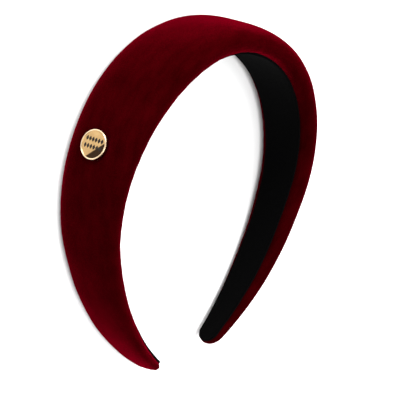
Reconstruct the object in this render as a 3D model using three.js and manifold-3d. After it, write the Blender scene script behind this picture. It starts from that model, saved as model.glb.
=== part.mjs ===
// A wide padded velvet headband with a small round metal badge, in millimetres and +Z up. It lies on its side on
// the plane z = 0, with its front edge on top, its back edge pressed a little flat where it touches the plane, and
// its crown towards +Y. The pieces are shaped as the band is worn, x across the head, y towards the back of the
// head and z up to the crown, and a group then lays them down. The origin is at the middle of the bounding box's
// underside.

import * as THREE from 'three';
import { LoftGeometry } from 'three/addons/geometries/LoftGeometry.js';
import { mergeVertices } from 'three/addons/utils/BufferGeometryUtils.js';
import Module from 'manifold-3d';

// The band's inner line, from the middle of the crown down to a tip: an arc over the head, then a flatter one.
const CROWN_RADIUS = 66;
const CROWN_SWEEP = 103.5; // degrees
const LIMB_RADIUS = 141;
const LIMB_SWEEP = 36;

// How the limbs depart from a flat hoop: they bow towards the front, and turn their inner face to the back.
const LIMB_BOW = 1;
const TIP_TWIST = 10.5; // degrees

// The padded band, velvet over sponge.
const CROWN_WIDTH = 39.5;
const TIP_WIDTH = 12.6;
const CROWN_THICKNESS = 12;
const TIP_THICKNESS = 4;

// How it tapers. along is a share of the way from the middle of the crown to a tip, and width and thickness are
// shares of the way from the tip's size to the crown's.
const TAPER = [
  { along: 0.0, width: 1.0, thickness: 1.0 },
  { along: 0.2, width: 0.97, thickness: 0.99 },
  { along: 0.4, width: 0.79, thickness: 0.92 },
  { along: 0.6, width: 0.57, thickness: 0.81 },
  { along: 0.8, width: 0.38, thickness: 0.47 },
  { along: 1.0, width: 0.0, thickness: 0.0 },
];

// Its section: the share of the thickness where it is widest, and how square its dome is, where 2 is an ellipse.
const WIDEST_AT = 0.42;
const DOME_POWER = 2.8;
const DOME_STEPS = 14;
const ROLL_STEPS = 3;
const SECTION_SPACING = 6.5;
const TIP_STEPS = 6;

// The flannel lining, glued over the turned-in velvet on the inner face. Over the crown it stops short of the
// inner flat's edges by the inset, and towards the tips it comes to go past them by the reach. It ends the end gap
// short of the band's own ends.
const LINING_THICKNESS = 1;
const LINING_CROWN_INSET = 0.4;
const LINING_TIP_REACH = 0.8;
const LINING_END_GAP = 0.2;

// The badge, a disc with a raised rim that is pressed into the padding of the left limb, and its hidden post.
const BADGE_DIAMETER = 13;
const BADGE_THICKNESS = 1.8;
const BADGE_RIM_WIDTH = 0.6;
const BADGE_RIM_HEIGHT = 0.3;
const BADGE_EDGE_RADIUS = 0.35;
const BADGE_SINK = 0.7;
const BADGE_SEGMENTS = 40;
const BADGE_EDGE_STEPS = 4;
const BADGE_ALONG = 76.2; // along the inner line, from the middle of the crown
const BADGE_ACROSS = 1.2; // from the band's middle towards its back edge
const POST_DIAMETER = 2;
const POST_LENGTH = 3.5;

// The clearance between pieces that touch, and how far the padding is pressed in where it rests on the plane.
const CLEARANCE = 0.3;
const REST_PRESS = 0.4;
const LAYING_PASSES = 8;

const wasm = await Module();
wasm.setup();

const crownTurn = THREE.MathUtils.degToRad(CROWN_SWEEP);
const limbTurn = THREE.MathUtils.degToRad(LIMB_SWEEP);
const halfLength = CROWN_RADIUS * crownTurn + LIMB_RADIUS * limbTurn;

// The frame of a section at a distance from the middle of the crown, negative on the left limb: its place on the
// inner line, and its across and out directions. turn is how far the inner line has turned down from the level.
function sectionFrame(distance) {
  const side = Math.sign(distance) || 1;
  const along = Math.abs(distance);
  const share = along / halfLength;
  const overCrown = Math.min(along / CROWN_RADIUS, crownTurn);
  const turn = overCrown + (along - overCrown * CROWN_RADIUS) / LIMB_RADIUS;
  const x = CROWN_RADIUS * Math.sin(overCrown) + LIMB_RADIUS * (Math.sin(turn) - Math.sin(overCrown));
  const z = CROWN_RADIUS * (Math.cos(overCrown) - 1) + LIMB_RADIUS * (Math.cos(turn) - Math.cos(overCrown));
  const twist = share * THREE.MathUtils.degToRad(TIP_TWIST);
  const level = new THREE.Vector3(0, 1, 0);
  const outward = new THREE.Vector3(side * Math.sin(turn), 0, Math.cos(turn));
  return {
    origin: new THREE.Vector3(side * x, -LIMB_BOW * Math.sin(Math.PI * share), z),
    across: level.clone().multiplyScalar(Math.cos(twist)).addScaledVector(outward, Math.sin(twist)),
    out: outward.clone().multiplyScalar(Math.cos(twist)).addScaledVector(level, -Math.sin(twist)),
  };
}

// Puts pairs of [across, out] on the band at a distance.
function place(pairs, distance) {
  const frame = sectionFrame(distance);
  return pairs.map(([across, out]) => {
    return frame.origin.clone().addScaledVector(frame.across, across).addScaledVector(frame.out, out);
  });
}

// A smooth curve through one column of the taper table, level at the crown.
function taper(column, along) {
  const slope = (i) => {
    const before = TAPER[Math.max(i - 1, 0)];
    const after = TAPER[Math.min(i + 1, TAPER.length - 1)];
    return i === 0 ? 0 : (after[column] - before[column]) / (after.along - before.along);
  };
  const above = TAPER.findIndex((row) => row.along > along);
  const i = above > 0 ? above - 1 : TAPER.length - 2;
  const span = TAPER[i + 1].along - TAPER[i].along;
  const t = (along - TAPER[i].along) / span;
  const rise = t * t * (3 - 2 * t);
  const bend = t * (1 - t) * span * ((1 - t) * slope(i) - t * slope(i + 1));
  return TAPER[i][column] * (1 - rise) + TAPER[i + 1][column] * rise + bend;
}

// How far a round end has closed at a distance before it: 1 on the band, 0 at the very tip.
function roundEnd(before, radius) {
  return before >= radius ? 1 : Math.sqrt(Math.max(1 - (1 - before / radius) ** 2, 0));
}

// The band's size at a distance: its width and thickness, how far out it is widest, and how wide its rolled edges
// are, outside the inner flat.
function bandSize(distance) {
  const along = Math.min(Math.abs(distance) / halfLength, 1);
  const end = roundEnd(halfLength - Math.abs(distance), TIP_WIDTH / 2);
  const width = end * THREE.MathUtils.lerp(TIP_WIDTH, CROWN_WIDTH, taper('width', along));
  const thickness = Math.sqrt(end) * THREE.MathUtils.lerp(TIP_THICKNESS, CROWN_THICKNESS, taper('thickness', along));
  const widest = WIDEST_AT * thickness;
  return { width, thickness, widest, roll: Math.min(widest, width / 3) };
}

// How far out the dome is at a place across it.
function domeOut({ width, thickness, widest }, across) {
  const share = Math.min(Math.abs(across) / (width / 2), 1);
  return widest + (thickness - widest) * (1 - share ** DOME_POWER) ** (1 / DOME_POWER);
}

// The band's section: the inner flat, a rolled edge, the dome and the other rolled edge.
function bandOutline(size) {
  const half = size.width / 2;
  const flat = half - size.roll;
  const outline = [[-flat, 0], [flat, 0]];
  const roll = [];
  for (let i = 1; i < ROLL_STEPS; i++) {
    const angle = ((i / ROLL_STEPS) * Math.PI) / 2;
    roll.push([flat + size.roll * Math.sin(angle), size.widest * (1 - Math.cos(angle))]);
  }
  outline.push(...roll);
  for (let i = 0; i <= DOME_STEPS; i++) {
    const cosine = Math.cos((i / DOME_STEPS) * Math.PI);
    const across = half * Math.sign(cosine) * Math.abs(cosine) ** (2 / DOME_POWER);
    outline.push([across, domeOut(size, across)]);
  }
  outline.push(...roll.reverse().map(([across, out]) => [-across, out]));
  return outline;
}

// Distances from one tip to the other, closer together where the round tips close.
function stations(length, tipRadius) {
  const straight = length - tipRadius;
  const count = Math.max(Math.round(straight / SECTION_SPACING), 2);
  const half = [];
  for (let i = 1; i <= count; i++) half.push((i / count) * straight);
  for (let i = 1; i <= TIP_STEPS; i++) {
    const angle = ((i / (TIP_STEPS + 0.5)) * Math.PI) / 2;
    half.push(straight + tipRadius * Math.sin(angle));
  }
  return [...half.map((distance) => -distance).reverse(), 0, ...half];
}

function bandGeometry() {
  const sections = stations(halfLength, TIP_WIDTH / 2).map((distance) => {
    return place(bandOutline(bandSize(distance)), distance);
  });
  return new LoftGeometry(sections, { capStart: true, capEnd: true });
}

// The lining follows the inner flat, and its round end closes just inside the band's own.
function liningGeometry() {
  const endStart = halfLength - TIP_WIDTH / 2;
  const halfWidth = (distance) => {
    const along = Math.min(Math.abs(distance), endStart);
    const { width, roll } = bandSize(along);
    return width / 2 - roll + THREE.MathUtils.lerp(-LINING_CROWN_INSET, LINING_TIP_REACH, (along / halfLength) ** 4);
  };
  const length = halfLength - LINING_END_GAP;
  const endLength = length - endStart;
  const outer = -CLEARANCE;
  const inner = outer - LINING_THICKNESS;
  const sections = stations(length, endLength).map((distance) => {
    const half = halfWidth(distance) * roundEnd(length - Math.abs(distance), endLength);
    return place([[-half, inner], [half, inner], [half, outer], [-half, outer]], distance);
  });
  return new LoftGeometry(sections, { capStart: true, capEnd: true });
}

// The badge, turned about Y with its back at y = 0: the post, the back, the wall, the rim and the sunk face.
function badgeGeometry() {
  const radius = BADGE_DIAMETER / 2;
  const face = BADGE_THICKNESS - BADGE_RIM_HEIGHT;
  const outline = new THREE.Path();
  outline.moveTo(0, -POST_LENGTH);
  outline.lineTo(POST_DIAMETER / 2, -POST_LENGTH);
  outline.lineTo(POST_DIAMETER / 2, 0);
  outline.lineTo(radius, 0);
  outline.lineTo(radius, BADGE_THICKNESS - BADGE_EDGE_RADIUS);
  outline.quadraticCurveTo(radius, BADGE_THICKNESS, radius - BADGE_EDGE_RADIUS, BADGE_THICKNESS);
  outline.lineTo(radius - BADGE_RIM_WIDTH, face);
  outline.lineTo(0, face);
  return new THREE.LatheGeometry(outline.getPoints(BADGE_EDGE_STEPS), BADGE_SEGMENTS);
}

// The hollow that the badge and its post are pressed into, open to the outside, with clearance all round.
function seatGeometry() {
  const holeRadius = POST_DIAMETER / 2 + CLEARANCE;
  const seatRadius = BADGE_DIAMETER / 2 + CLEARANCE;
  const outline = new THREE.Path();
  outline.moveTo(0, -POST_LENGTH - CLEARANCE);
  outline.lineTo(holeRadius, -POST_LENGTH - CLEARANCE);
  outline.lineTo(holeRadius, -CLEARANCE);
  outline.lineTo(seatRadius, -CLEARANCE);
  outline.lineTo(seatRadius, seatRadius);
  outline.lineTo(0, seatRadius);
  return new THREE.LatheGeometry(outline.getPoints(), BADGE_SEGMENTS);
}

// Where the badge's back is, and the way that it faces: square to the velvet, and sunk into it.
function badgePlace() {
  const onVelvet = (distance, across) => place([[across, domeOut(bandSize(distance), across)]], distance)[0];
  const nearby = SECTION_SPACING / 10;
  const origin = onVelvet(-BADGE_ALONG, BADGE_ACROSS);
  const along = onVelvet(nearby - BADGE_ALONG, BADGE_ACROSS).sub(origin);
  const across = onVelvet(-BADGE_ALONG, BADGE_ACROSS + nearby).sub(origin);
  const facing = along.cross(across).normalize();
  return { origin: origin.addScaledVector(facing, -BADGE_SINK), facing };
}

// A geometry as a manifold-3d solid, and back.
function toSolid(geometry) {
  const bare = new THREE.BufferGeometry();
  bare.setAttribute('position', geometry.attributes.position);
  bare.setIndex(geometry.index);
  const merged = mergeVertices(bare);
  return new wasm.Manifold(new wasm.Mesh({
    numProp: 3,
    vertProperties: merged.attributes.position.array,
    triVerts: new Uint32Array(merged.index.array),
  }));
}

function toGeometry(solid) {
  const { vertProperties, triVerts } = solid.getMesh();
  const geometry = new THREE.BufferGeometry();
  geometry.setAttribute('position', new THREE.BufferAttribute(vertProperties, 3));
  geometry.setIndex(new THREE.BufferAttribute(triVerts, 1));
  geometry.computeVertexNormals();
  return geometry;
}

// The turn about X that lays the band down with its back edge under it. It starts from that edge straight down,
// and leans until the lowest points on the crown's side of the balance and on the tips' side are level.
function layingTurn(geometry) {
  const { position } = geometry.attributes;
  const points = [];
  for (let i = 0; i < position.count; i++) points.push(new THREE.Vector3().fromBufferAttribute(position, i));
  const balance = points.reduce((sum, point) => sum + point.z, 0) / points.length;
  const crownSide = points.filter((point) => point.z > balance);
  const tipSide = points.filter((point) => point.z <= balance);
  let lean = 0;
  for (let pass = 0; pass < LAYING_PASSES; pass++) {
    const depth = (point) => point.y * Math.cos(lean) - point.z * Math.sin(lean);
    const lowest = (side) => side.reduce((low, point) => (depth(point) > depth(low) ? point : low));
    const crown = lowest(crownSide);
    const tip = lowest(tipSide);
    lean = Math.atan2(crown.y - tip.y, crown.z - tip.z);
  }
  return lean - Math.PI / 2;
}

const headband = new THREE.Group();
const laid = new THREE.Group();
headband.add(laid);

function addPiece(name, geometry, finish) {
  const mesh = new THREE.Mesh(geometry, new THREE.MeshStandardMaterial(finish));
  mesh.name = name;
  laid.add(mesh);
  return mesh;
}

const band = addPiece('padded_band', bandGeometry(), { color: 0x5c0610, roughness: 0.95, metalness: 0 });
addPiece('lining', liningGeometry(), { color: 0x0b0b0c, roughness: 0.95, metalness: 0 });
const badge = addPiece('badge', badgeGeometry(), { color: 0xd8b46a, roughness: 0.2, metalness: 1 });
const { origin, facing } = badgePlace();
badge.position.copy(origin);
badge.quaternion.setFromUnitVectors(new THREE.Vector3(0, 1, 0), facing);

// The band is laid down, and its box is brought over the origin with the back edge pressed into the plane.
laid.rotation.x = layingTurn(band.geometry);
headband.updateMatrixWorld(true);
const box = new THREE.Box3().setFromObject(laid, true);
const middle = box.getCenter(new THREE.Vector3());
laid.position.set(-middle.x, -middle.y, -box.min.z - REST_PRESS);
headband.updateMatrixWorld(true);

// The padding gives way to the badge and its post, and is flat where it rests on the plane.
const seat = seatGeometry().applyQuaternion(badge.quaternion).translate(...origin.toArray());
const underPlane = new THREE.BoxGeometry(4 * halfLength, 4 * halfLength, CROWN_WIDTH);
underPlane.translate(0, 0, -CROWN_WIDTH / 2);
underPlane.applyMatrix4(laid.matrixWorld.clone().invert());
band.geometry = toGeometry(toSolid(band.geometry).subtract(toSolid(seat)).subtract(toSolid(underPlane)));

export default headband;
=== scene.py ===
# A wide padded velvet headband with a small gilt badge, in metres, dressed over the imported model's frame.
# It lies on its back edge, with its crown towards +Y and the badge on its -X limb.

import math

import bpy
import numpy as np
from mathutils import Matrix, Vector


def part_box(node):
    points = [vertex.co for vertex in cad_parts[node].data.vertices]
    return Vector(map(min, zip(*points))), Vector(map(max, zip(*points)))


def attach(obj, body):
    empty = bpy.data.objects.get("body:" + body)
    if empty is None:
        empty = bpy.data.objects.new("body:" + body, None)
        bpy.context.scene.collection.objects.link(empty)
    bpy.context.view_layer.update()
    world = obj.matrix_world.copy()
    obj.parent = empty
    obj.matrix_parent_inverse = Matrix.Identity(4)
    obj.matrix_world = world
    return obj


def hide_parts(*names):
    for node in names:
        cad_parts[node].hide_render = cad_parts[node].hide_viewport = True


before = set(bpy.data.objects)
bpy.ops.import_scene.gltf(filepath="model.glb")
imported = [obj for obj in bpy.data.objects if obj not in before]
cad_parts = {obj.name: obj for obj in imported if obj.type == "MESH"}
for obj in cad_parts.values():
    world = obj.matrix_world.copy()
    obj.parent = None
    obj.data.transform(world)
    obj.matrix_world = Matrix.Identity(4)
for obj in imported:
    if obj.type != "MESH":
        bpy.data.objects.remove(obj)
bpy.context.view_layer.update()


# Velvet cover
# Short-pile wine velvet over a domed strip of sponge, which a thin springy core inside keeps in shape. Its
# edges are turned in and glued to the inner face, and it closes in a round end at each tip. It dips where the
# badge is pressed into it, and is flat where the band rests on its back edge.

CROWN_RADIUS = 0.066
CROWN_SWEEP = math.radians(103.5)
LIMB_RADIUS = 0.141
LIMB_SWEEP = math.radians(36)
HALF_LENGTH = CROWN_RADIUS * CROWN_SWEEP + LIMB_RADIUS * LIMB_SWEEP
LIMB_BOW = 0.001
TIP_TWIST = math.radians(10.5)
LEAN = math.radians(4.104)

CROWN_WIDTH = 0.0395
TIP_WIDTH = 0.0126
CROWN_THICKNESS = 0.012
TIP_THICKNESS = 0.004
# Shares of the way from the crown to a tip, and from the tip's size to the crown's.
TAPER = {
    "along": (0.0, 0.2, 0.4, 0.6, 0.8, 1.0),
    "width": (1.0, 0.97, 0.79, 0.57, 0.38, 0.0),
    "thickness": (1.0, 0.99, 0.92, 0.81, 0.47, 0.0),
}
# The share of the thickness where the section is widest, and how square its dome is, where 2 is an ellipse.
WIDEST_AT = 0.42
DOME_POWER = 2.8

STATION_SPACING = 0.00095
TIP_STATIONS = 14
FLAT_COLUMNS = 8
ROLL_COLUMNS = 11
DOME_COLUMNS = 43
# The dome's outline is measured at this many places, to space its columns evenly.
DOME_SAMPLES = 2001

BADGE_RADIUS = 0.0065
BADGE_ALONG = 0.0762
BADGE_ACROSS = 0.0012
BADGE_SINK = 0.0007
# The dome's slope under the badge is taken over this distance.
SLOPE_STEP = 0.0005
DIP_DEPTH = 0.00025
DIP_REACH = 0.0017
DIP_POWER = 1.5

SPONGE_SWELL = 0.00012
SWELL_LENGTH = 0.022
PUCKER_DEPTH = 0.00011
PUCKER_LENGTH = 0.008
# The puckers' waves are slower across the band than along it by the first share, and lie below the edge's
# smooth shape by the second share of their depth.
PUCKER_STRETCH = 0.35
PUCKER_SINK = 0.5
TIP_GATHERS = 11
TIP_GATHER_DEPTH = 0.00014

# How many features of each pattern go into a metre. The streaks' are along the band and round it.
BRUSHED_STREAKS = (90, 260)
PILE_GRAINS = 2600
NAP_CLOUDS = 70
PILE_HEIGHT = 0.0005
VELVET_DARK = (0.008, 0.0, 0.0001)
VELVET_LIGHT = (0.024, 0.0001, 0.0006)

# Keeps a division from being by nothing, where a round end has closed.
TINY = 1e-12


def inner_line(distance):
    """The inner line's points, ways across and ways out, worn upright, at distances from the crown.

    A point is a radius times the sine and cosine of how far the line has turned, first on the crown's arc and
    then on the limb's, which is flatter. The section twists by its share of the way to the tip.
    """
    side = np.where(distance < 0, -1.0, 1.0)
    along = np.abs(distance)
    share = along / HALF_LENGTH
    over_crown = np.minimum(along / CROWN_RADIUS, CROWN_SWEEP)
    turn = over_crown + (along - over_crown * CROWN_RADIUS) / LIMB_RADIUS
    x = CROWN_RADIUS * np.sin(over_crown) + LIMB_RADIUS * (np.sin(turn) - np.sin(over_crown))
    z = CROWN_RADIUS * (np.cos(over_crown) - 1) + LIMB_RADIUS * (np.cos(turn) - np.cos(over_crown))
    twist = (share * TIP_TWIST)[..., None]
    none = np.zeros_like(share)
    level = np.stack([none, none + 1, none], -1)
    outward = np.stack([side * np.sin(turn), none, np.cos(turn)], -1)
    points = np.stack([side * x, -LIMB_BOW * np.sin(np.pi * share), z], -1)
    across = level * np.cos(twist) + outward * np.sin(twist)
    out = outward * np.cos(twist) - level * np.sin(twist)
    return points, across, out


def on_section(distance, across, out):
    """The worn places of points some way across and out from the inner line, at distances along it."""
    points, across_way, out_way = inner_line(np.asarray(distance, float))
    return points + across_way * np.asarray(across)[..., None] + out_way * np.asarray(out)[..., None]


def taper(column, along):
    """A smooth curve through one column of TAPER, level at the crown.

    Between two rows it is the cubic whose slope at each row is the slope between that row's neighbours.
    """
    knots = np.array(TAPER["along"])
    values = np.array(TAPER[column])
    slopes = np.zeros_like(values)
    slopes[1:-1] = (values[2:] - values[:-2]) / (knots[2:] - knots[:-2])
    slopes[-1] = (values[-1] - values[-2]) / (knots[-1] - knots[-2])
    row = np.clip(np.searchsorted(knots, along, side="right") - 1, 0, len(knots) - 2)
    span = knots[row + 1] - knots[row]
    t = (along - knots[row]) / span
    rise = t * t * (3 - 2 * t)
    bend = t * (1 - t) * span * ((1 - t) * slopes[row] - t * slopes[row + 1])
    return values[row] * (1 - rise) + values[row + 1] * rise + bend


def round_end(before, length):
    """How wide a round end still is at a distance before its very end, from 1 on the strip down to 0.

    It is a quarter of an ellipse of this length.
    """
    return np.sqrt(np.clip(1 - (1 - np.minimum(before / length, 1)) ** 2, 0, 1))


def band_size(distance):
    """The band's half width, thickness, height where widest, and rolled edge's width, at distances along."""
    along = np.minimum(np.abs(distance) / HALF_LENGTH, 1)
    end = round_end(HALF_LENGTH - np.abs(distance), TIP_WIDTH / 2)
    half = end * (TIP_WIDTH + (CROWN_WIDTH - TIP_WIDTH) * taper("width", along)) / 2
    thickness = TIP_THICKNESS + (CROWN_THICKNESS - TIP_THICKNESS) * taper("thickness", along)
    thickness = np.sqrt(end) * thickness
    widest = WIDEST_AT * thickness
    return half, thickness, widest, np.minimum(widest, half * 2 / 3)


def on_dome(distance, across):
    """The worn place on the velvet's dome at a distance along and across. The dome is a superellipse."""
    half, thickness, widest, _ = band_size(distance)
    share = abs(across) / half
    rise = (thickness - widest) * (1 - share**DOME_POWER) ** (1 / DOME_POWER)
    return on_section(distance, across, widest + rise)


def all_round(half_ring, sign):
    """A whole ring of columns from its half, whose first and last columns are on the middle line."""
    return np.concatenate([half_ring, sign * half_ring[-2:0:-1]])


def section_ring():
    """The section's columns, as shares of the half width, rolled edge, widest height and dome's rise.

    The ring starts in the middle of the inner flat. A rolled edge is a quarter of an ellipse, and the dome is
    a superellipse from edge to edge, with its columns evenly spaced.
    """
    power = 2 / DOME_POWER
    fine = np.linspace(0, np.pi / 2, DOME_SAMPLES)
    fine_across = CROWN_WIDTH / 2 * np.cos(fine) ** power
    fine_out = CROWN_THICKNESS * (1 - WIDEST_AT) * np.sin(fine) ** power
    walked = np.concatenate([[0], np.cumsum(np.hypot(np.diff(fine_across), np.diff(fine_out)))])
    dome = np.interp(np.linspace(0, walked[-1], DOME_COLUMNS), walked, fine)
    flat = np.linspace(0, 1, FLAT_COLUMNS, endpoint=False)
    roll = np.linspace(0, np.pi / 2, ROLL_COLUMNS, endpoint=False)
    level = np.zeros(FLAT_COLUMNS + ROLL_COLUMNS)
    half_share = np.concatenate([flat, np.ones(ROLL_COLUMNS), np.maximum(np.cos(dome), 0) ** power])
    roll_share = np.concatenate([-flat, np.sin(roll) - 1, np.zeros(DOME_COLUMNS)])
    widest_share = np.concatenate([np.zeros(FLAT_COLUMNS), 1 - np.cos(roll), np.ones(DOME_COLUMNS)])
    rise_share = np.concatenate([level, np.sin(dome) ** power])
    return (
        all_round(half_share, -1),
        all_round(roll_share, -1),
        all_round(widest_share, 1),
        all_round(rise_share, 1),
    )


def stations(length, end_length, spacing, end_stations):
    """Distances from one end of a strip to the other, even and then closer where its round ends close.

    In a round end they go by the sine, so that the last ones lie evenly round it.
    """
    straight = length - end_length
    even = np.linspace(0, straight, round(straight / spacing))
    closing = straight + end_length * np.sin(np.linspace(0, np.pi / 2, end_stations + 1)[1:])
    half = np.concatenate([even, closing])
    return np.concatenate([-half[:0:-1], half])


def smooth_noise(size, seed, *places):
    """Numbers from about -1 to 1 that vary smoothly: twelve sine waves in seeded directions, added.

    size is the middle wave's length, in the unit of the places. The waves are 0.6 to 1.5 times as quick as
    the middle one, and their sum is divided by 5, which it seldom passes.
    """
    random = np.random.default_rng(seed)
    total = 0
    for _ in range(12):
        way = random.normal(size=len(places))
        way *= 2 * np.pi / size * random.uniform(0.6, 1.5) / np.linalg.norm(way)
        total = total + np.sin(sum(k * place for k, place in zip(way, places)) + random.uniform(0, 7))
    return total / 5


def cloth_map(distance, rings):
    """UVs in metres of cloth: the distance along, and the girth walked round each ring to its start again."""
    steps = np.linalg.norm(np.roll(rings, -1, axis=1) - rings, axis=-1)
    girth = np.hstack([np.zeros((len(distance), 1)), np.cumsum(steps, axis=1)])
    return np.stack([np.repeat(distance[:, None], girth.shape[1], axis=1), girth], -1)


def outward_normals(rings):
    """Unit normals of a grid of rings, from the cross product of its steps around and along."""
    along = np.gradient(rings, axis=0)
    around = np.roll(rings, -1, axis=1) - np.roll(rings, 1, axis=1)
    normals = np.cross(around, along)
    return normals / np.maximum(np.linalg.norm(normals, axis=-1, keepdims=True), TINY)


def lay_down(worn):
    """Worn points turned about X, which brings the back edge down and the crown towards +Y.

    It is a quarter turn and LEAN more, which levels the lowest points of the crown and of the limbs.
    """
    x, y, z = np.moveaxis(worn, -1, 0)
    sine, cosine = math.sin(LEAN), math.cos(LEAN)
    return np.stack([x, y * sine + z * cosine, z * sine - y * cosine], -1)


def closed_tube(rings, cloth=None):
    """The vertices, faces and UVs of a closed skin through rings, which closes in a point at each end.

    rings is rows by columns by 3. cloth is its UVs, with one more column where the ring comes round again,
    and is plain row and column numbers if it isn't given. Six times the volume inside is the sum, over the
    faces' triangles, of one corner times the cross product of the other two. Where that is negative, the
    faces would point inwards, and the rings are turned to run the other way.
    """
    beside = np.roll(rings, -1, axis=1)
    volume = np.sum(rings[:-1] * (np.cross(beside[:-1], beside[1:]) + np.cross(beside[1:], rings[1:])))
    rows, columns = rings.shape[:2]
    if cloth is None:
        cloth = np.stack(np.meshgrid(np.arange(rows), np.arange(columns + 1.0), indexing="ij"), -1)
    if volume < 0:
        rings, cloth = rings[:, ::-1], cloth[:, ::-1]
    vertices = np.concatenate([rings[0, :1], rings[1:-1].reshape(-1, 3), rings[-1, :1]])
    index = np.arange((rows - 2) * columns).reshape(rows - 2, columns) + 1
    index = np.vstack([np.zeros(columns, int), index, np.full(columns, len(vertices) - 1)])
    index = np.hstack([index, index[:, :1]])

    def corners(grid):
        """What a grid holds at the faces' corners: the first end's triangles, the quads, the last end's."""
        four = [grid[:-1, :-1], grid[:-1, 1:], grid[1:, 1:], grid[1:, :-1]]
        four = np.stack(four, axis=2).reshape((rows - 1) * columns, 4, *grid.shape[2:])
        return four[:columns, [0, 2, 3]], four[columns:-columns], four[-columns:, :3]

    faces = [face for part in corners(index) for face in part.tolist()]
    uvs = np.concatenate([part.reshape(-1, 2) for part in corners(cloth)])
    return vertices, faces, uvs


def add_piece(name, tubes):
    """A smooth object made of closed tubes, with its place in its mesh. It rides on the root."""
    vertices, faces, start = [], [], 0
    for tube_vertices, tube_faces, _ in tubes:
        vertices.append(tube_vertices)
        faces += [[corner + start for corner in face] for face in tube_faces]
        start += len(tube_vertices)
    uvs = np.concatenate([tube_uvs for _, _, tube_uvs in tubes])
    mesh = bpy.data.meshes.new(name)
    mesh.from_pydata(np.concatenate(vertices).tolist(), [], faces)
    mesh.polygons.foreach_set("use_smooth", np.ones(len(faces), bool))
    mesh.uv_layers.new(name="cloth").data.foreach_set("uv", uvs.ravel())
    piece = bpy.data.objects.new(name, mesh)
    bpy.context.scene.collection.objects.link(piece)
    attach(piece, "root")
    return piece


class Value:
    """A shader socket whose number varies over a surface. Arithmetic on it adds Math nodes."""

    def __init__(self, shader, socket):
        self.shader = shader
        self.socket = socket

    def math(self, operation, *values):
        return self.shader.node("ShaderNodeMath", {"operation": operation}, dict(enumerate(values)))

    def __add__(self, other):
        return self.math("ADD", self, other)

    __radd__ = __add__

    def __sub__(self, other):
        return self.math("SUBTRACT", self, other)

    def __rsub__(self, other):
        return self.math("SUBTRACT", other, self)

    def __mul__(self, other):
        return self.math("MULTIPLY", self, other)

    __rmul__ = __mul__


class Shader:
    def __init__(self, name):
        self.material = bpy.data.materials.new(name)
        self.material.use_nodes = True
        self.nodes = self.material.node_tree.nodes
        self.links = self.material.node_tree.links
        self.nodes.clear()

    def node(self, kind, settings, sockets, output=0):
        """Adds a node with its settings, such as a ramp's stops, then its sockets' values or links."""
        node = self.nodes.new(kind)
        for name, setting in settings.items():
            if name == "stops":
                while len(node.color_ramp.elements) < len(setting):
                    node.color_ramp.elements.new(0.5)
                for element, (position, colour) in zip(node.color_ramp.elements, setting):
                    element.position = position
                    element.color = (*colour, 1)
            else:
                setattr(node, name, setting)
        for name, value in sockets.items():
            if isinstance(value, Value):
                self.links.new(value.socket, node.inputs[name])
            else:
                node.inputs[name].default_value = value
        return Value(self, node.outputs[output]) if node.outputs else None

    def places(self, output):
        """The object's own coordinates, in metres, or its UV map."""
        return self.node("ShaderNodeTexCoord", {}, {}, output)

    def noise(self, vector, scale, detail=3, roughness=0.55):
        sockets = {"Vector": vector, "Scale": scale, "Detail": detail, "Roughness": roughness}
        return self.node("ShaderNodeTexNoise", {}, sockets, "Fac")

    def stretched(self, vector, x, y, z=1):
        """The same places with each axis scaled, which stretches a pattern on them."""
        return self.node("ShaderNodeMapping", {}, {"Vector": vector, "Scale": (x, y, z)})

    def fade(self, value, low, high):
        """0 below low and 1 above high, and smooth between them."""
        sockets = {"Value": value, "From Min": low, "From Max": high}
        return self.node("ShaderNodeMapRange", {"interpolation_type": "SMOOTHSTEP"}, sockets)

    def ramp(self, value, *stops):
        return self.node("ShaderNodeValToRGB", {"stops": stops}, {"Fac": value})

    def bump(self, height, strength, distance):
        sockets = {"Height": height, "Strength": strength, "Distance": distance}
        return self.node("ShaderNodeBump", {}, sockets, "Normal")

    def finish(self, piece, sockets):
        """Ends in a Principled surface with these sockets, and dresses the piece in the material."""
        surface = self.node("ShaderNodeBsdfPrincipled", {}, sockets)
        self.node("ShaderNodeOutputMaterial", {}, {"Surface": surface})
        piece.data.materials.clear()
        piece.data.materials.append(self.material)


cover_rows = stations(HALF_LENGTH, TIP_WIDTH / 2, STATION_SPACING, TIP_STATIONS)
band_half, band_thickness, band_widest, band_roll = band_size(cover_rows)
half_share, roll_share, widest_share, rise_share = section_ring()
cover_across = np.outer(band_half, half_share) + np.outer(band_roll, roll_share)
cover_out = np.outer(band_widest, widest_share) + np.outer(band_thickness - band_widest, rise_share)
cover_along = np.repeat(cover_rows[:, None], cover_across.shape[1], axis=1)
smooth_cover = on_section(cover_along, cover_across, cover_out)

# The sponge swells unevenly, and the turned-in velvet puckers along the inner edges. At the tips it gathers,
# more and more towards the end and then less again.
cover_cloth = cloth_map(cover_rows, smooth_cover)
cover_girth = cover_cloth[..., 1]
low_edge = np.clip(1 - cover_out / np.maximum(band_widest, TINY)[:, None], 0, 1) * (rise_share == 0)
puckers = smooth_noise(PUCKER_LENGTH, 3, cover_along, cover_across * PUCKER_STRETCH)
tip_share = np.clip(1 - (HALF_LENGTH - np.abs(cover_along)) / TIP_WIDTH, 0, 1)
gathers = np.sin(TIP_GATHERS * 2 * np.pi * cover_girth[:, :-1] / np.maximum(cover_girth[:, -1:], TINY))
swell = SPONGE_SWELL * smooth_noise(SWELL_LENGTH, 8, *np.moveaxis(smooth_cover, -1, 0)) * rise_share
swell += PUCKER_DEPTH * (puckers - PUCKER_SINK) * np.sqrt(low_edge)
swell += TIP_GATHER_DEPTH * (gathers - 1) * tip_share**2 * (1 - tip_share) * 4 * (cover_out > 0)
cover = smooth_cover + outward_normals(smooth_cover) * swell[..., None]

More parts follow.
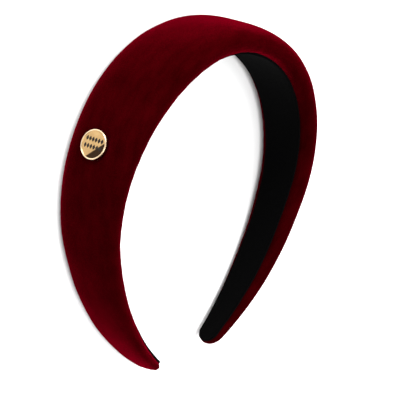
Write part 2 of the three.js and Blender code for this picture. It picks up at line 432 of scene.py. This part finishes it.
# The badge's back is sunk a little below the dome, and faces squarely out of it.
under_badge = on_dome(-BADGE_ALONG, BADGE_ACROSS)
badge_facing = np.cross(
    on_dome(SLOPE_STEP - BADGE_ALONG, BADGE_ACROSS) - under_badge,
    on_dome(-BADGE_ALONG, BADGE_ACROSS + SLOPE_STEP) - under_badge,
)
badge_facing /= np.linalg.norm(badge_facing)
badge_centre = under_badge - badge_facing * BADGE_SINK

# Under the badge the velvet is pressed below its back, and round it the dip fades out.
from_badge = cover - badge_centre
over_badge = from_badge @ badge_facing
beside_badge = np.linalg.norm(from_badge - over_badge[..., None] * badge_facing, axis=-1)
dip = np.exp(-(np.maximum(beside_badge - BADGE_RADIUS, 0) / DIP_REACH) ** DIP_POWER)
dip *= (np.abs(over_badge) < BADGE_RADIUS) * (rise_share > 0)
cover += badge_facing * ((-DIP_DEPTH - over_badge) * dip)[..., None]

# Laid on its side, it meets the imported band's box, and what would go under the surface is pressed flat.
_, band_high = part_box("padded_band")
shift = np.array(band_high) - lay_down(smooth_cover).max(axis=(0, 1))
shift[0] = 0
cover = lay_down(cover) + shift
cover[..., 2] = np.maximum(cover[..., 2], 0)

velvet_cover = add_piece("velvet_cover", [closed_tube(cover, cover_cloth)])
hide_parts("padded_band")

# The pile is nearly black seen along its hairs, and its sheen is red where the surface turns away.
velvet = Shader("wine_velvet")
velvet_places = velvet.places("Object")
brushed = velvet.noise(velvet.stretched(velvet.places("UV"), *BRUSHED_STREAKS), 1, 3)
pile = velvet.noise(velvet_places, PILE_GRAINS, 2, 0.6)
clouds = velvet.noise(velvet_places, NAP_CLOUDS, 3)
nap = brushed * 0.35 + clouds * 0.25 + pile * 0.4
velvet.finish(velvet_cover, {
    "Base Color": velvet.ramp(nap, (0.35, VELVET_DARK), (0.65, VELVET_LIGHT)),
    "Roughness": 1.0,
    "Specular IOR Level": 0.0,
    "Sheen Weight": 0.65,
    "Sheen Roughness": 0.3,
    "Sheen Tint": (0.5, 0.0, 0.02, 1),
    "Normal": velvet.bump(pile * 0.8 + brushed * 0.25, 0.65, PILE_HEIGHT),
})


# Lining
# One strip of black brushed flannel, a little over a millimetre thick, cut to the inner face's shape. It is
# glued over the turned-in edges of the velvet.

LINING_THICKNESS = 0.0012
# The lining ends short of the inner flat's edges over the crown and goes past them at the tips. It stops the
# end gap before the band's own ends.
LINING_CROWN_MARGIN = -0.0004
LINING_TIP_MARGIN = 0.0008
LINING_END_GAP = 0.0002
LINING_EDGE = 0.00035
LINING_WAVE = 0.00008
LINING_WAVE_LENGTH = 0.012
LINING_GAP = 0.00005
LINING_SPACING = 0.0012
LINING_END_STATIONS = 12
LINING_COLUMNS = 14
LINING_CORNER_COLUMNS = 5
# Where the band's own round end begins.
ROUND_END_FROM = HALF_LENGTH - TIP_WIDTH / 2

FUZZ_GRAINS = 1900
FUZZ_HEIGHT = 0.0004
FLANNEL_DARK = (0.0005, 0.0005, 0.0005)
FLANNEL_LIGHT = (0.0014, 0.0014, 0.0015)


def lining_half(distance):
    """The lining's half width: the inner flat and a margin.

    The margin grows as the fourth power of the way to the tip, up to where the band's round end begins.
    """
    along = np.minimum(np.abs(distance), ROUND_END_FROM)
    half, _, _, roll = band_size(along)
    margin = LINING_CROWN_MARGIN + (LINING_TIP_MARGIN - LINING_CROWN_MARGIN) * (along / HALF_LENGTH) ** 4
    return half - roll + margin


def strip_ring():
    """The strip's columns, as shares of its width inside the corners, of the corners, and of its wall.

    It runs from the middle of the face that shows, round a quarter circle at each corner, to the glued one.
    """
    flat = np.linspace(0, 1, LINING_COLUMNS, endpoint=False)
    corner = np.linspace(0, np.pi / 2, LINING_CORNER_COLUMNS)
    width = np.concatenate([flat, np.ones(2 * LINING_CORNER_COLUMNS), flat[::-1]])
    turn = np.concatenate([0 * flat, corner, corner + np.pi / 2, 0 * flat + np.pi])
    wall = np.repeat([1.0, 0.0], LINING_COLUMNS + LINING_CORNER_COLUMNS)
    return (
        all_round(width, -1),
        all_round(np.sin(turn), -1),
        all_round(np.cos(turn), 1),
        all_round(wall, 1),
    )


lining_length = HALF_LENGTH - LINING_END_GAP
lining_end = lining_length - ROUND_END_FROM
lining_rows = stations(lining_length, lining_end, LINING_SPACING, LINING_END_STATIONS)
strip_half = lining_half(lining_rows) * round_end(lining_length - np.abs(lining_rows), lining_end)
strip_half += LINING_WAVE * smooth_noise(LINING_WAVE_LENGTH, 5, lining_rows)
strip_edge = np.minimum(LINING_EDGE, strip_half / 2)

flat_share, corner_across, corner_down, wall_share = strip_ring()
strip_across = np.outer(strip_half - strip_edge, flat_share) + np.outer(strip_edge, corner_across)
strip_down = np.outer(LINING_THICKNESS - 2 * strip_edge, wall_share)
strip_down += np.outer(strip_edge, 1 + corner_down)
strip_along = np.repeat(lining_rows[:, None], strip_across.shape[1], axis=1)
strip = on_section(strip_along, strip_across, -LINING_GAP - strip_down)
lining_cloth = cloth_map(lining_rows, strip)
strip = lay_down(strip) + shift
strip[..., 2] = np.maximum(strip[..., 2], 0)

lining = add_piece("flannel_lining", [closed_tube(strip, lining_cloth)])
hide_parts("lining")

flannel = Shader("black_flannel")
fuzz = flannel.noise(flannel.places("Object"), FUZZ_GRAINS, 4, 0.65)
flannel.finish(lining, {
    "Base Color": flannel.ramp(fuzz, (0.3, FLANNEL_DARK), (0.75, FLANNEL_LIGHT)),
    "Roughness": 1.0,
    "Specular IOR Level": 0.0,
    "Sheen Weight": 0.01,
    "Sheen Roughness": 0.5,
    "Normal": flannel.bump(fuzz, 0.5, FUZZ_HEIGHT),
})


# Badge
# A thin pressed disc of pale gilt metal with a polished rim round a slightly domed satin face. The rim's
# colour is painted lighter as a highlight, and the face has a painted dark reflection to one side. Its hidden
# post goes through the velvet into the padding. Two rows of low lozenges in dark enamel stand on its face.

BADGE_THICKNESS = 0.0018
BADGE_WALL = (0.0004, 0.0014)
BADGE_FACE_RADIUS = 0.0057
BADGE_FACE = 0.0015
BADGE_DOME = 0.0002
BADGE_FACE_ROWS = 9
BADGE_COLUMNS = 128
POST_RADIUS = 0.001
POST_LENGTH = 0.0035

# The polish of the rim, and the paler colour painted on it as a highlight, set in between these two radii.
POLISH_FROM = BADGE_FACE_RADIUS + 0.0001
POLISH_FULL = BADGE_FACE_RADIUS + 0.0003
# The painted dark reflection starts where a place's ways to the right and down from the middle add up to the
# first.
# It deepens over the second, and the third makes its edge ragged.
DARK_REFLECTION_FROM = 0.0036
DARK_REFLECTION_FADE = 0.0009
DARK_REFLECTION_RAGGED = 0.0008
TARNISH_SPOTS = 350
SCRATCHES = (500, 500, 6000)
SCRATCH_DEPTH = 0.0002

ROW_HEIGHTS = (0.002, -0.0011)
LOZENGE_PITCH = 0.00158
LOZENGE_HALF_WIDTH = 0.0007
LOZENGE_HALF_HEIGHT = 0.00108
LOZENGE_POWER = 1.25
LOZENGE_COLUMNS = 24
# A row ends this far inside the face's edge, at the height of this share of the lozenges' half height.
LOZENGE_RIM_GAP = 0.0002
LOZENGE_SHOULDER = 0.6
# A lozenge from its foot, sunk into the face, up to its top: shares of its size, and metres over the face.
LOZENGE_RINGS = {
    "size": (0, 1, 1, 0.86, 0.5, 0),
    "height": (-0.0001, -0.0001, 0.00001, 0.00004, 0.00005, 0.00005),
}
ENAMEL_GRAINS = 5000
ENAMEL_HEIGHT = 0.0001


def face_height(radius):
    """How high the face stands over the badge's back, a parabola from its edge up to its middle."""
    return BADGE_FACE + BADGE_DOME * (1 - (radius / BADGE_FACE_RADIUS) ** 2)


def on_badge(right, above, height):
    """Laid places on the badge, from ways right and above on its face and heights over its back.

    right and above lie in the plane of its face, and are as the band is worn, with the crown above.
    """
    sideways = np.cross((0, 0, 1), badge_facing)
    sideways /= np.linalg.norm(sideways)
    upward = np.cross(badge_facing, sideways)
    ways = ((right, sideways), (above, upward), (height, badge_facing))
    return lay_down(badge_centre + sum(size[..., None] * way for size, way in ways)) + shift


# Radii and heights over the back, up the post, out along the back, up the wall and over the rolled rim. The
# face's own radii and heights follow.
rim_outline = np.array([
    (0, -POST_LENGTH),
    (POST_RADIUS * 0.8, -POST_LENGTH),
    (POST_RADIUS, -POST_LENGTH * 0.94),
    (POST_RADIUS, -0.0001),
    (POST_RADIUS * 1.1, 0),
    (0.00615, 0),
    (0.00635, 0.00005),
    (0.00646, 0.00018),
    (BADGE_RADIUS, BADGE_WALL[0]),
    (BADGE_RADIUS, BADGE_WALL[1]),
    (0.00647, 0.00158),
    (0.00638, 0.00171),
    (0.00624, 0.00178),
    (0.00609, BADGE_THICKNESS),
    (0.00596, 0.00176),
    (0.00587, 0.00168),
    (0.0058, 0.00157),
    (0.00575, 0.00151),
])
face_radii = np.linspace(BADGE_FACE_RADIUS, 0, BADGE_FACE_ROWS)
badge_outline = np.vstack([rim_outline, np.stack([face_radii, face_height(face_radii)], -1)])
badge_turn = np.linspace(0, 2 * np.pi, BADGE_COLUMNS + 1)
badge_radii, badge_heights = badge_outline[:, :1], badge_outline[:, 1:]

# The disc's UVs are metres to the right and above on its face.
face_map = np.stack([badge_radii * np.cos(badge_turn), badge_radii * np.sin(badge_turn)], -1)
disc = on_badge(face_map[:, :-1, 0], face_map[:, :-1, 1], badge_heights + 0 * badge_turn[:-1])
badge_disc = add_piece("badge_disc", [closed_tube(disc, face_map)])
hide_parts("badge")

gilt = Shader("pale_gilt")
face_places = gilt.places("UV")
face_right = gilt.node("ShaderNodeSeparateXYZ", {}, {"Vector": face_places}, "X")
face_above = gilt.node("ShaderNodeSeparateXYZ", {}, {"Vector": face_places}, "Y")
from_middle = gilt.node("ShaderNodeVectorMath", {"operation": "LENGTH"}, {0: face_places}, "Value")
tarnish = gilt.noise(gilt.places("Object"), TARNISH_SPOTS, 3)
scratches = gilt.noise(gilt.stretched(gilt.places("Object"), *SCRATCHES), 1, 2)
# The rim is smoother, which is real polish, and its colour is painted paler there as a highlight.
polish_and_painted_highlight = gilt.fade(from_middle, POLISH_FROM, POLISH_FULL)
# Painted reflection: the face's colour is darker down and to the right, where a dark reflection is painted
# in.
painted_dark_reflection = gilt.fade(face_right - face_above + tarnish * DARK_REFLECTION_RAGGED, DARK_REFLECTION_FROM, DARK_REFLECTION_FROM + DARK_REFLECTION_FADE)
tone = tarnish * 0.4 + polish_and_painted_highlight * 0.4 + 0.25 - painted_dark_reflection * (1 - polish_and_painted_highlight) * 0.45
gilt.finish(badge_disc, {
    "Base Color": gilt.ramp(
        tone,
        (0.06, (0.022, 0.012, 0.006)),
        (0.36, (0.28, 0.175, 0.075)),
        (0.6, (0.40, 0.265, 0.12)),
        (0.9, (0.62, 0.47, 0.31)),
    ),
    "Metallic": 1.0,
    "Roughness": tarnish * 0.14 + scratches * 0.06 + 0.16 - polish_and_painted_highlight * 0.1,
    "Normal": gilt.bump(scratches, 0.06, SCRATCH_DEPTH),
})


def lozenge(right, above):
    """A low closed plate with a bevelled edge, standing on the badge's face.

    Its edge is the curve where the shares of the half width and half height, each to a power a little over
    1, add up to 1, which is a lozenge with softened corners.
    """
    turn = np.linspace(0, 2 * np.pi, LOZENGE_COLUMNS, endpoint=False)
    power = 2 / LOZENGE_POWER
    wide = LOZENGE_HALF_WIDTH * np.sign(np.cos(turn)) * np.abs(np.cos(turn)) ** power
    tall = LOZENGE_HALF_HEIGHT * np.sign(np.sin(turn)) * np.abs(np.sin(turn)) ** power
    size = np.array(LOZENGE_RINGS["size"])[:, None]
    rise = np.array(LOZENGE_RINGS["height"])[:, None]
    x, y = right + size * wide, above + size * tall
    return closed_tube(on_badge(x, y, face_height(np.hypot(x, y)) + rise))


lozenges = []
for row_height in ROW_HEIGHTS:
    shoulder = abs(row_height) + LOZENGE_HALF_HEIGHT * LOZENGE_SHOULDER
    row_reach = math.sqrt((BADGE_FACE_RADIUS - LOZENGE_RIM_GAP) ** 2 - shoulder**2)
    count = int(2 * (row_reach - LOZENGE_HALF_WIDTH) / LOZENGE_PITCH) + 1
    for number in range(count):
        lozenges.append(lozenge((number - (count - 1) / 2) * LOZENGE_PITCH, row_height))
badge_lozenges = add_piece("badge_lozenges", lozenges)

enamel = Shader("dark_enamel")
grain = enamel.noise(enamel.places("Object"), ENAMEL_GRAINS, 3)
enamel.finish(badge_lozenges, {
    "Base Color": enamel.ramp(grain, (0.3, (0.004, 0.003, 0.002)), (0.7, (0.012, 0.008, 0.005))),
    "Metallic": 0.0,
    "Roughness": grain * 0.2 + 0.55,
    "Specular IOR Level": 0.15,
    "Normal": enamel.bump(grain, 0.3, ENAMEL_HEIGHT),
})


# Floor and light
# A plain pale floor under a pale sky, and soft lamps: most of the light comes from above and from beyond the
# crown, which leaves the velvet dark where it faces the camera and bright where it turns away.

FLOOR_REACH = 3.0
LAMP_DISTANCE = 1.2
SKY_STRENGTH = 1.0
# Azimuths are from +Y towards +X and elevations from the floor, in degrees. Sizes are metres, powers watts.
LAMPS = (
    {"name": "crown_lamp", "azimuth": 20, "elevation": 35, "size": 0.9, "power": 14},
    {"name": "rim_lamp", "azimuth": -15, "elevation": 14, "size": 0.5, "power": 14},
    {"name": "top_lamp", "azimuth": 0, "elevation": 90, "size": 1.2, "power": 10},
    {"name": "side_lamp", "azimuth": -110, "elevation": 65, "size": 0.9, "power": 6},
)

square = [(-1, -1, 0), (1, -1, 0), (1, 1, 0), (-1, 1, 0)]
floor_mesh = bpy.data.meshes.new("floor")
floor_mesh.from_pydata([Vector(corner) * FLOOR_REACH for corner in square], [], [(0, 1, 2, 3)])
floor = bpy.data.objects.new("floor", floor_mesh)
bpy.context.scene.collection.objects.link(floor)
paper = Shader("pale_paper")
paper.finish(floor, {"Base Color": (0.9, 0.9, 0.9, 1), "Roughness": 0.9, "Specular IOR Level": 0.1})

for lamp in LAMPS:
    azimuth, elevation = math.radians(lamp["azimuth"]), math.radians(lamp["elevation"])
    level = math.cos(elevation)
    lamp_way = Vector((math.sin(azimuth) * level, math.cos(azimuth) * level, math.sin(elevation)))
    lamp_data = bpy.data.lights.new(lamp["name"], "AREA")
    lamp_data.shape = "DISK"
    lamp_data.size = lamp["size"]
    lamp_data.energy = lamp["power"]
    light = bpy.data.objects.new(lamp["name"], lamp_data)
    light.location = lamp_way * LAMP_DISTANCE
    light.rotation_euler = lamp_way.to_track_quat("Z", "Y").to_euler()
    light.visible_camera = False
    bpy.context.scene.collection.objects.link(light)

world = bpy.data.worlds.new("pale_sky")
world.use_nodes = True
sky = world.node_tree.nodes["Background"].inputs
sky["Color"].default_value = (1, 1, 1, 1)
sky["Strength"].default_value = SKY_STRENGTH
bpy.context.scene.world = world
bpy.context.scene.view_settings.view_transform = "Standard"


# Camera
# It looks down at the badge's side from 37 degrees, with the crown near the top of the picture.

CAMERA_PLACE = Vector((-0.380, 0.1529, 0.3278))
CAMERA_AIM = Vector((0.0038, -0.0028, 0.0133))
CAMERA_ROLL = math.radians(6.15)

camera_data = bpy.data.cameras.new("camera")
camera_data.lens = 98.3
camera_data.sensor_width = 36
camera = bpy.data.objects.new("camera", camera_data)
bpy.context.scene.collection.objects.link(camera)
bpy.context.scene.camera = camera

# The crown's way is kept upright in the picture, and then the camera is rolled.
crown_way = Vector((0, math.cos(LEAN), math.sin(LEAN)))
camera_back = (CAMERA_PLACE - CAMERA_AIM).normalized()
camera_right = crown_way.cross(camera_back).normalized()
unrolled = Matrix((camera_right, camera_back.cross(camera_right), camera_back)).transposed()
camera.location = CAMERA_PLACE
camera.rotation_euler = (unrolled @ Matrix.Rotation(CAMERA_ROLL, 3, "Z")).to_euler()
